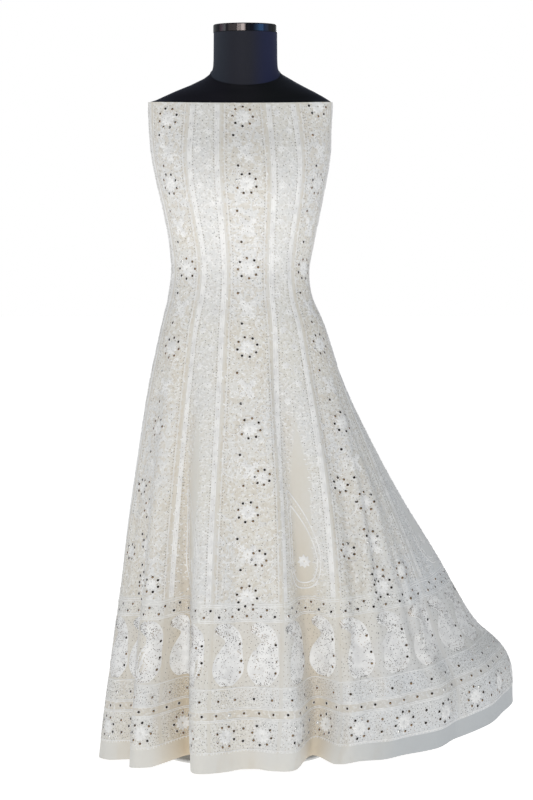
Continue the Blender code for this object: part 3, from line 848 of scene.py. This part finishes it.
def georgette(name, tones, thread_cover=0.0, curls=0.0, strip_down=False, shade=CLOTH_PAINTED_SIDE_SHADE):
    """Ivory cloth with its fine white needlework, and painted tan shade where it lies deep between folds.

    The needlework's curls stand out from bare ground between them, and there is none on the plain
    part of a panel. The swept-out side of the skirt carries painted cool shade.
    """
    ground, cool, beige = tones
    f = Finish(name, ground, 0.85)
    flat, place = f.flat(), f.place()
    patches = f.between(f.noise(place, 5.0, 3.0), 0.42, 0.62)
    colour = f.mix(f.times(patches, 0.8), ground, cool)
    streaks = f.between(f.noise(flat, 30.0, 3.0, stretch=(1.0, 0.35, 1.0)), 0.52, 0.72)
    colour = f.mix(f.times(streaks, 0.55), colour, beige)
    weave = f.bump(f.weave(flat, WARP_THREADS), 0.00018, 0.5)
    f.set(f.shader, {"Normal": weave})
    if thread_cover:
        down, edge = f.axis(flat, "Y"), f.attribute("edge")
        for low, high, strength in BEIGE_ROWS:
            row = f.within(down, LENGTH - high, LENGTH - low, 0.002)
            colour = f.mix(f.times(row, strength), colour, beige)
        colour = f.mix(f.times(f.between(edge, SEAM_BEIGE + 0.001, SEAM_BEIGE), 0.28), colour, beige)
        stitches = f.between(f.noise(flat, 170.0, 4.0), 0.60 - 0.16 * thread_cover, 0.68)
        stitches = f.times(stitches, f.between(edge, SEAM_BEIGE, SEAM_BEIGE + 0.001))
        gaps = f.between(f.noise(flat, 70.0, 2.0, curled=1.5), 0.53, 0.45)
        above = f.between(down, BORDERS_DOWN, BORDERS_DOWN - 0.004)
        gaps = f.times(gaps, f.times(above, curls))
        colour = f.mix(gaps, colour, beige)
        bare = f.within(down, LENGTH - PAISLEY_ROW[1], LENGTH - PAISLEY_ROW[0], 0.003)
        stitches = f.times(stitches, f.between(bare, 1.6, 0.0))
        stitches = f.times(stitches, f.between(gaps, 1.2, 0.0))
        if strip_down:
            reach = f.spread(down, VINE_END, VINE_END + PLAIN_GROWTH, to_high=PLAIN_HALF)
            inside = f.math("SUBTRACT", reach, f.math("ABSOLUTE", f.axis(flat, "X")))
            bare_strip = f.times(f.between(inside, 0.0, 0.003), above)
            stitches = f.times(stitches, f.between(bare_strip, 1.0, 0.0))
            colour = f.mix(f.times(bare_strip, 0.6), colour, ground)
        colour = f.mix(f.times(stitches, 0.75), colour, THREAD_WHITE)
        raised = f.bump(stitches, 0.0006, 0.7, weave)
        f.set(f.shader, {"Roughness": f.spread(stitches, 0.0, 1.0, 0.9, 0.62), "Normal": raised})
    # Painted shade: tan where the cloth lies deep between folds.
    colour = f.mix(f.attribute("hollow"), colour, PAINTED_FOLD_SHADE_TAN)
    # Painted shade: the swept-out side of the skirt is tinted cool grey, by its place across the form.
    painted_side_shade = f.between(f.axis(place, "X"), 0.14, 0.34)
    colour = f.mix(f.times(painted_side_shade, shade[1]), colour, shade[0])
    f.set(f.shader, {"Base Color": colour})
    f.set(f.shader, {"Sheen Weight": 0.25, "Sheen Roughness": 0.5, "Specular IOR Level": 0.3})
    return f.material


def satin_thread(name):
    """White floss, laid in parallel stitches."""
    f = Finish(name, THREAD_WHITE, 0.5)
    place = f.place()
    tone = f.between(f.noise(place, 60.0, 3.0), 0.35, 0.70)
    strands = f.noise(place, 2200.0, 1.0)
    f.set(f.shader, {
        "Base Color": f.mix(tone, THREAD_WHITE, THREAD_GREY), "Normal": f.bump(strands, 0.0002, 0.6),
        "Sheen Weight": 0.2, "Specular IOR Level": 0.45,
    })
    return f.material


def mirror_glass(name):
    """Small round mirrors: a painted dark reflection on some, bronze on others, and a painted glint on a few.
    """
    f = Finish(name, (0.08, 0.065, 0.05), 0.16, 1.0)
    place = f.place()
    # The dark tone is a painted dark reflection; bronze is the mirrors' own tint.
    tone = f.between(f.noise(place, 75.0, 0.0), 0.44, 0.58)
    colour = f.mix(tone, (0.045, 0.038, 0.033), (0.30, 0.205, 0.125))
    # Painted glint: a few mirrors near white.
    painted_glint = f.between(f.noise(place, 52.0, 0.0), 0.70, 0.73)
    f.set(f.shader, {"Base Color": f.mix(painted_glint, colour, (0.95, 0.95, 0.93))})
    return f.material


def sequin_metal(name):
    """Tiny raised sequins of dull silver and bronze."""
    f = Finish(name, (0.30, 0.27, 0.24), 0.35, 1.0)
    tone = f.between(f.noise(f.place(), 45.0, 2.0), 0.42, 0.60)
    f.set(f.shader, {"Base Color": f.mix(tone, (0.07, 0.065, 0.065), (0.30, 0.24, 0.18))})
    return f.material


def jersey(name, left, middle, right, gloss):
    """Black knitted jersey, with painted light that greys its left side and painted cool shade that blues its
    right.
    """
    f = Finish(name, middle, 0.7)
    place = f.place()
    across = f.axis(place, "X")
    # Painted light at the left side and painted cool shade at the right.
    colour = f.mix(f.between(across, -0.015, -0.058), middle, left)
    colour = f.mix(f.between(across, 0.008, 0.055), colour, right)
    knit = f.times(f.noise(place, 900.0, 2.0), f.noise(place, 350.0, 1.0, stretch=(1.0, 1.0, 4.0)))
    f.set(f.shader, {"Base Color": colour, "Normal": f.bump(knit, 0.0004, 0.6)})
    f.set(f.shader, {"Sheen Weight": 0.06, "Sheen Roughness": 0.4, "Sheen Tint": (0.45, 0.55, 1.0)})
    f.set(f.shader, {"Specular IOR Level": gloss})
    return f.material


def satin_steel(name):
    """Steel tube with faint handling marks."""
    bright, dull = (0.50, 0.51, 0.53), (0.38, 0.39, 0.41)
    f = Finish(name, bright, 0.28, 1.0)
    tone = f.between(f.noise(f.place(), 40.0, 4.0), 0.35, 0.70)
    rough = f.spread(tone, 0.0, 1.0, 0.28, 0.448)
    f.set(f.shader, {"Base Color": f.mix(tone, bright, dull), "Roughness": rough})
    return f.material


def dark_chrome(name):
    """A dark polished rim, with painted reflections in upright bands."""
    f = Finish(name, (0.10, 0.09, 0.10), 0.22, 0.85)
    place = f.place()
    across = f.spread(f.axis(place, "X"), NECK_SIDE - CAP_RADIUS, NECK_SIDE + CAP_RADIUS)
    # Painted reflections: upright bands of tint across the rim.
    ramp = f.add("ValToRGB", {"Fac": across})
    for share, painted_reflection in RIM_PAINTED_REFLECTIONS:
        stop = ramp.color_ramp.elements.new(share)
        stop.color = (*painted_reflection, 1.0)
    # The top face keeps the plain dark metal, without the painted reflection bands.
    top = f.between(f.axis(place, "Z"), CAP_TOP_Z - 0.003, CAP_TOP_Z - 0.0005)
    f.set(f.shader, {"Base Color": f.mix(top, ramp.outputs["Color"], (0.03, 0.03, 0.033))})
    return f.material


def powder_coat(name):
    """Pale powder coat with its fine grain."""
    coat = (0.78, 0.78, 0.77)
    f = Finish(name, coat, 0.5)
    place = f.place()
    grain = f.noise(place, 900.0, 2.0)
    tone = f.between(f.noise(place, 6.0, 3.0), 0.35, 0.70)
    colour = f.mix(tone, coat, (0.72, 0.72, 0.71))
    f.set(f.shader, {"Base Color": colour, "Normal": f.bump(grain, 0.0002, 0.5)})
    return f.material


def floor_paint(name):
    """A plain pale studio floor."""
    f = Finish(name, (0.42, 0.405, 0.385), 0.9)
    f.set(f.shader, {"Emission Color": (1.0, 1.0, 1.0), "Emission Strength": 0.90})
    return f.material


def clear_of(places, centres, radius):
    """The places that lie outside a circle round each centre."""
    apart = np.linalg.norm(places[:, None] - np.asarray(centres)[None], axis=-1)
    return places[apart.min(axis=1) > radius]


def evenly_round(count, start=0.0):
    return start + np.arange(count) * TURN / count


class Panelwork:
    """The needlework of one panel: white thread, mirrors and sequins."""

    def __init__(self, cloth, k):
        self.cloth, self.k = cloth, k
        self.is_rose = PANELS[k].name.endswith("rose")
        self.rng = np.random.default_rng(RANDOM_START + k)
        self.thread, self.mirrors, self.sequins = (Work(cloth, k) for _ in range(3))

    def half(self, down):
        return self.cloth.width_at(self.k, down) / 2

    def mirror(self, across, down):
        across, down = np.broadcast_arrays(np.atleast_1d(np.asarray(across, float)), down)
        fits = (np.abs(across) < self.half(down) - MIRROR_MARGIN) & (down > PANEL_START)
        across, down = across[fits], down[fits]
        self.mirrors.stamp(SHAPES["mirror"], across, down, lift=THREAD_LIFT)
        self.thread.stamp(SHAPES["ring"], across, down, lift=THREAD_LIFT)

    def leaves(self, across, down, turn, size=1.0):
        self.thread.stamp(SHAPES["leaf"], across, down, turn, size, THREAD_LIFT)

    def knots(self, across, down, size=1.0):
        self.thread.stamp(SHAPES["knot"], across, down, 0.0, size, THREAD_LIFT)

    def dots(self, across, down, lift=SEQUIN_LIFT):
        turn = self.rng.uniform(0.0, math.pi, np.shape(across))
        size = self.rng.uniform(0.75, 1.15, np.shape(across))
        self.sequins.stamp(SHAPES["sequin"], across, down, turn, size, lift)

    def scatter(self, top, bottom, spacing, keep=1.0):
        """Places about a spacing apart all over the panel between two distances down."""
        rows = []
        for number, level in enumerate(np.arange(top + spacing / 2, bottom, spacing * 0.87)):
            half = self.half(level) - SCATTER_MARGIN
            across = np.arange(-half + (number % 2) * spacing / 2, half, spacing)
            rows.append(np.stack([across, np.full(len(across), level)], axis=-1))
        places = np.concatenate(rows)
        places = places + self.rng.uniform(-0.4, 0.4, places.shape) * spacing
        across, down = places.T
        inside = (np.abs(across) < self.half(down) - SCATTER_MARGIN) & (down > top) & (down < bottom)
        return places[inside & (self.rng.random(len(places)) < keep)]

    def flower(self, across, down, radius, petals):
        """A white flower: two rounds of petals about a knotted middle."""
        start = self.rng.uniform(0.0, math.pi)
        for share, inner, offset in ((1.0, 0.30, 0.0), (0.70, 0.10, math.pi / petals)):
            turn = evenly_round(petals, start) + offset
            foot = radius * inner
            size = radius * share * (1.0 - inner) / LEAF_LENGTH
            x, y = across - np.sin(turn) * foot, down + np.cos(turn) * foot
            self.thread.stamp(SHAPES["petal"], x, y, turn, size, THREAD_LIFT)
        middle = evenly_round(5, start)
        self.knots(across + np.cos(middle) * radius * 0.16, down + np.sin(middle) * radius * 0.16)

    def roundel(self, across, down, ring=0.020, mirrors=8):
        """A filled white flower in a ring of mirrors."""
        turn = evenly_round(mirrors, self.rng.uniform(0.0, 1.0))
        self.mirror(across + np.cos(turn) * ring, down + np.sin(turn) * ring)
        self.flower(across, down, ring * 0.80, 11)

    def cluster(self, across, down):
        """A loose bunch of small white flowers, with a single mirror above and below."""
        for x, y, radius in CLUSTER_FLOWERS:
            self.flower(across + x, down + y, radius, 7)
        for x, y in SINGLE_MIRRORS:
            self.mirror(across + x, down + y)

    def seam_bands(self):
        """Satin bands and a dotted line inside each seam, wider on a vine panel than on a rose panel."""
        bands = FINE_BANDS if self.is_rose else WIDE_BANDS
        down = np.arange(PANEL_START, BORDERS_DOWN, BAND_STEP)
        dotted = np.arange(0.010, BORDERS_DOWN, DOT_STEP)
        for side in (-1.0, 1.0):
            for inset, width in bands:
                self.thread.ribbon(side * (self.half(down) - inset), down, width)
            self.dots(side * (self.half(dotted) - bands[-1][0] - 0.0035), dotted)

    def line(self, height):
        """A cord of white thread all along the panel at a height above the hem."""
        half = float(self.half(LENGTH - height))
        across = np.linspace(-half, half, max(8, int(2 * half / 0.010)))
        self.thread.ribbon(across, LENGTH - height, BORDER_CORD, LINE_HEIGHT)

    def row(self, height, spacing):
        """Evenly spaced places along the panel at a height above the hem."""
        half = float(self.half(LENGTH - height))
        count = max(1, round(2 * half / spacing))
        return (np.arange(count) + 0.5) / count * 2 * half - half

    def tall_paisley(self, down):
        """A tall paisley in outline that stands on its round end, its tip curled over to one side."""
        t = np.linspace(0.0, TURN, 49)[:-1]
        for share in (1.0, 0.78):
            x, y = paisley_path(t, TALL_PAISLEY * share)
            foot = down - TALL_PAISLEY * (1 - share) * 0.25
            self.thread.ribbon(x, foot - y, OUTLINE, closed=True)
        x, y = paisley_path(np.linspace(0.0, TURN, 57)[:-1], TALL_PAISLEY * 0.89)
        self.knots(x, down - y - TALL_PAISLEY * 0.027, 1.2)
        self.flower(0.0, down - TALL_PAISLEY * 0.27, TALL_PAISLEY * 0.07, 8)

    def row_paisley(self, across, down):
        """A paisley of solid white stitches, curled over to the left, with a run of mirrors down its side."""
        spine = [np.array(column) * PAISLEY_HEIGHT for column in zip(*PAISLEY_SPINE)]
        share = np.linspace(0.0, len(PAISLEY_SPINE) - 1.0, 25)
        spine = [np.interp(share, np.arange(len(PAISLEY_SPINE)), values) for values in spine]
        x, up, half = (np.convolve(np.pad(v, 2, mode="edge"), np.full(5, 0.2), mode="valid") for v in spine)
        way = np.stack([np.gradient(x), np.gradient(up)], axis=-1)
        way /= np.linalg.norm(way, axis=-1, keepdims=True)
        reach = np.linspace(-1.0, 1.0, PATCH_COLUMNS + 1)
        patch_x = x[:, None] + way[:, 1:] * half[:, None] * reach
        patch_up = up[:, None] - way[:, :1] * half[:, None] * reach
        heights = LINE_HEIGHT * (1.0 - reach**4) * np.ones_like(patch_x) + THREAD_LIFT
        sheet = strip(len(x) - 1, PATCH_COLUMNS)
        patch = (across + patch_x, down - patch_up, heights)
        self.thread.add(sheet, *(values.reshape(1, -1) for values in patch))
        speck = self.rng.uniform(0.0, len(x) - 1.0, PAISLEY_SPECKS)
        side = self.rng.uniform(-0.88, 0.88, PAISLEY_SPECKS)
        curves = (way[:, 0], way[:, 1], x, up, half)
        way_x, way_up, x, up, half = (np.interp(speck, np.arange(len(x)), values) for values in curves)
        self.dots(across + x + way_up * half * side, down - (up - way_x * half * side), PAISLEY_SPECK_LIFT)
        for x, up in PAISLEY_MIRRORS:
            self.mirror(across + x * PAISLEY_HEIGHT, down - up * PAISLEY_HEIGHT)

    def borders(self):
        """The rows of needlework above the hem band."""
        for height in BORDER_LINES:
            self.line(height)
        self.leaves(self.row(*EDGING), LENGTH - EDGING_FOOT, math.pi, 0.62)
        flowers, down = self.row(*ROUNDEL_ROW), LENGTH - ROUNDEL_ROW[0]
        for x in flowers:
            self.roundel(x, down)
        between = flowers[:-1] + float(self.half(down)) / len(flowers)
        for x in between:
            self.mirror([x, x], [down - 0.012, down + 0.012])
        for height, spacing, shift in MIRROR_ROWS:
            self.mirror(self.row(height, spacing) + shift, LENGTH - height)
        for x in self.row(*PAISLEYS):
            self.row_paisley(x, LENGTH - PAISLEY_FOOT)
        self.stipple([(x, down) for x in (*flowers, *between)])

    def stipple(self, centres):
        """The knots and sequins that fill the ground between the borders' motifs."""
        for low, high, spacing in STIPPLE:
            places = clear_of(self.scatter(LENGTH - high, LENGTH - low, spacing), centres, PETAL_REACH)
            self.knots(*places.T, self.rng.uniform(0.8, 1.3, len(places)))
        for low, high, spacing in SEQUIN_ZONES:
            self.dots(*self.scatter(LENGTH - high, LENGTH - low, spacing).T)

    def beside_strip(self, places):
        """The places that lie beside the plain strip of a vine panel, or all of a rose panel's."""
        if self.is_rose:
            return places
        strip_half = PLAIN_HALF * np.clip((places[:, 1] - VINE_END) / PLAIN_GROWTH, 0.0, 1.0)
        return places[np.abs(places[:, 0]) >= strip_half]

    def vine(self, top, spacing, keep, centres):
        """A ground of small leaves that curl round the flowers."""
        places = clear_of(self.scatter(top, BORDERS_DOWN, spacing, keep), centres, LEAVES_APART)
        places = self.beside_strip(places)
        away = places[:, None] - np.asarray(centres)[None]
        nearest = away[np.arange(len(places)), np.linalg.norm(away, axis=-1).argmin(axis=1)]
        turn = np.arctan2(nearest[:, 1], nearest[:, 0]) + self.rng.normal(0.0, 0.5, len(places))
        self.leaves(*places.T, turn, self.rng.uniform(0.6, 1.15, len(places)))

    def rose_panel(self):
        """Roundels down the middle with a cluster between each two, on a ground of loose leaves."""
        centres = []
        for number, level in enumerate(ROUNDEL_DOWNS):
            down = level + self.rng.uniform(-0.003, 0.003)
            if (self.k, number) == HIGH_ROUNDEL:
                down -= HIGH_ROUNDEL_LIFT
            side = self.rng.uniform(-0.003, 0.003)
            self.roundel(side, down)
            centres.append((side, down))
            if number + 1 < len(ROUNDEL_DOWNS):
                halfway = (level + ROUNDEL_DOWNS[number + 1]) / 2
                self.cluster(side, halfway)
                centres.append((side, halfway))
        wide = self.half(SIDE_ROUNDELS[0][1]) > 0.080
        for across, down in SIDE_ROUNDELS if wide else CENTRE_ROUNDELS:
            self.roundel(across, down, ring=0.015, mirrors=7)
            centres.append((across, down))
        for number, level in enumerate(np.arange(0.070, BORDERS_DOWN - 0.03, ROUNDEL_DOWNS[1] / 4)):
            self.scroll(float(self.half(level)), level, 1.0 if number % 2 else -1.0)
        self.vine(0.010, 0.0110, 0.80, centres)

    def scroll(self, half, down, side):
        """A curling stem beside the middle line, with leaves along it."""
        share = np.linspace(0.0, 1.0, 22)
        turn = 0.5 + share * 1.5 * math.pi
        reach = (half - 0.016) * 0.5 * (1.0 - 0.68 * share)
        x = side * (0.5 * half + reach * np.cos(turn))
        y = down + reach * np.sin(turn) * 1.2
        self.thread.ribbon(x, y, STEM)
        self.leaves(x[::2], y[::2], turn[::2] * side + math.pi / 2, 0.75)

    def vine_panel(self):
        """A dense vine down to the middle of the skirt, then a tall paisley on plainer cloth."""
        centres = []
        for number, down in enumerate(np.arange(0.022, VINE_END, VINE_PITCH / 2)):
            side = (0.30 if number % 2 else -0.30) * float(self.half(down))
            self.flower(side, down, 0.0085, 7)
            centres.append((side, down))
        down = np.arange(0.006, VINE_END, 0.006)
        wave = np.sin((down - 0.022) / VINE_PITCH * TURN)
        stem = wave * (self.half(down) - 0.018) * 0.75
        self.thread.ribbon(stem, down, STEM)
        self.leaves(stem[::2], down[::2], np.sign(np.gradient(wave))[::2] * 1.1, 0.9)
        self.vine(0.008, 0.0095, 0.95, centres)
        self.tall_paisley(BORDERS_DOWN - 0.014)

    def sew(self):
        if self.is_rose:
            self.rose_panel()
        else:
            self.vine_panel()
        self.seam_bands()
        spacing = SWEPT_SPACING if self.k in SWEPT_PANELS else SPECK_SPACING
        places = self.scatter(PANEL_START, BORDERS_DOWN, spacing)
        self.dots(*self.beside_strip(places).T, SPECK_LIFT)
        self.borders()


def paisley_path(t, height):
    """The outline of a tall paisley of a given height, from its foot: across and up."""
    share = (1.0 - np.cos(t)) / 2.0
    belly = np.sin(t) * (1.0 - 0.80 * share) * height * 0.26
    curl = -height * 0.30 * np.clip(share - 0.35, 0.0, 1.0) ** 1.6
    return belly + curl, share * height


def build_gown(cloth):
    rose_cloth = georgette("rose_georgette", ROSE_TONES, 0.9, curls=0.6)
    vine_cloth = georgette("vine_georgette", VINE_TONES, 1.0, curls=0.25, strip_down=True)
    hem_finish = georgette("hem_georgette", HEM_TONES, shade=BAND_PAINTED_SIDE_SHADE)
    floss, glass = satin_thread("white_floss"), mirror_glass("mirror_glass")
    sequin = sequin_metal("sequin_metal")
    for k, panel in enumerate(PANELS):
        number = panel.name[:2]
        work = Panelwork(cloth, k)
        work.sew()
        thread = piece("needlework_" + number, work.thread.mesh("needlework_" + number), floss)
        mirrors = piece("mirrors_" + number, work.mirrors.mesh("mirrors_" + number), glass)
        sequins = piece("sequins_" + number, work.sequins.mesh("sequins_" + number), sequin)
        panel_finish = rose_cloth if work.is_rose else vine_cloth
        body = cloth_piece("panel_" + panel.name, cloth, k, 0, PANEL_ROWS, panel_finish)
        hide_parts("kali_" + panel.name)
        band_rows = (PANEL_ROWS, PANEL_ROWS + HEM_ROWS)
        band = cloth_piece("hem_band_" + number, cloth, k, *band_rows, hem_finish)
        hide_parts("hem_" + number)


def cord_round(name, ring, material):
    """A fine cord that runs all round one of the form's rings."""
    curve = bpy.data.curves.new(name, "CURVE")
    curve.dimensions = "3D"
    curve.bevel_depth = FORM_CORD / 2
    curve.bevel_resolution = 2
    path = ring_points(ring)
    spline = curve.splines.new("POLY")
    spline.points.add(len(path) - 1)
    spline.points.foreach_set("co", np.column_stack([path, np.ones(len(path))]).ravel())
    spline.use_cyclic_u = True
    return piece(name, curve, material)


def build_form():
    body_jersey = jersey("body_jersey", *BODY_JERSEY_WITH_PAINTED_SIDES, gloss=0.10)
    neck_jersey = jersey("neck_jersey", *NECK_JERSEY_WITH_PAINTED_SIDES, gloss=0.22)
    torso = [ring_points(r) for r in HIPS] + bodice_rings() + [ring_points(r) for r in SHOULDERS]
    body = loft("torso_cover", torso, body_jersey)
    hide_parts("form_torso")
    neck = loft("neck_cover", [ring_points(r) for r in NECK], neck_jersey)
    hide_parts("form_neck")
    seam = cord_round("neck_seam", SHOULDERS[-1], body_jersey)
    under_rim = cord_round("rim_edge", NECK[-1], body_jersey)
    finishes = {
        "form_neck_cap": dark_chrome("rim_chrome"), "form_pole": satin_steel("satin_steel"),
        "form_base": powder_coat("pale_coat"),
    }
    for node, finish in finishes.items():
        for slot in bpy.data.objects[node].material_slots:
            slot.material = finish


def build_stage():
    bm = bmesh.new()
    bmesh.ops.create_grid(bm, x_segments=1, y_segments=1, size=40.0)
    floor = in_scene("floor", finished(bm, "floor"))
    floor.data.materials.append(floor_paint("pale_floor"))
    world = bpy.data.worlds.new("studio")
    world.use_nodes = True
    nodes, links = world.node_tree.nodes, world.node_tree.links
    sky, white = nodes["Background"], nodes.new("ShaderNodeBackground")
    sky.inputs["Color"].default_value = (*SKY, 1.0)
    sky.inputs["Strength"].default_value = WORLD_LIGHT
    white.inputs["Color"].default_value = (1.0, 1.0, 1.0, 1.0)
    rays, seen = nodes.new("ShaderNodeLightPath"), nodes.new("ShaderNodeMixShader")
    links.new(rays.outputs["Is Camera Ray"], seen.inputs["Fac"])
    links.new(sky.outputs["Background"], seen.inputs[1])
    links.new(white.outputs["Background"], seen.inputs[2])
    links.new(seen.outputs["Shader"], nodes["World Output"].inputs["Surface"])
    bpy.context.scene.world = world
    bpy.context.scene.view_settings.view_transform = "Standard"
    for name, energy, colour, place, aim in SOFTBOXES:
        lamp = bpy.data.lights.new(name, "AREA")
        lamp.energy, lamp.color, lamp.size = energy, colour, SOFTBOX_SIZE
        point_at(in_scene(name, lamp), place, aim)


def place_camera():
    lens = bpy.data.cameras.new("view")
    lens.lens = CAMERA_LENS
    lens.sensor_width = 36.0
    camera = in_scene("view", lens)
    point_at(camera, CAMERA_PLACE, CAMERA_AIM)
    bpy.context.scene.camera = camera


place_camera()
build_stage()
SHAPES = {
    "leaf": leaf_shape(LEAF_LENGTH, 0.0027, 0.0007),
    "petal": leaf_shape(LEAF_LENGTH, 0.0040, 0.0010),
    "knot": dome_shape(0.0010, 0.0007),
    "sequin": dome_shape(0.00085, 0.0003),
    "mirror": disc_shape(0.0025, 0.0006),
    "ring": ring_shape(0.0031, 0.0011, 0.0009),
}
build_gown(Cloth())
build_form()
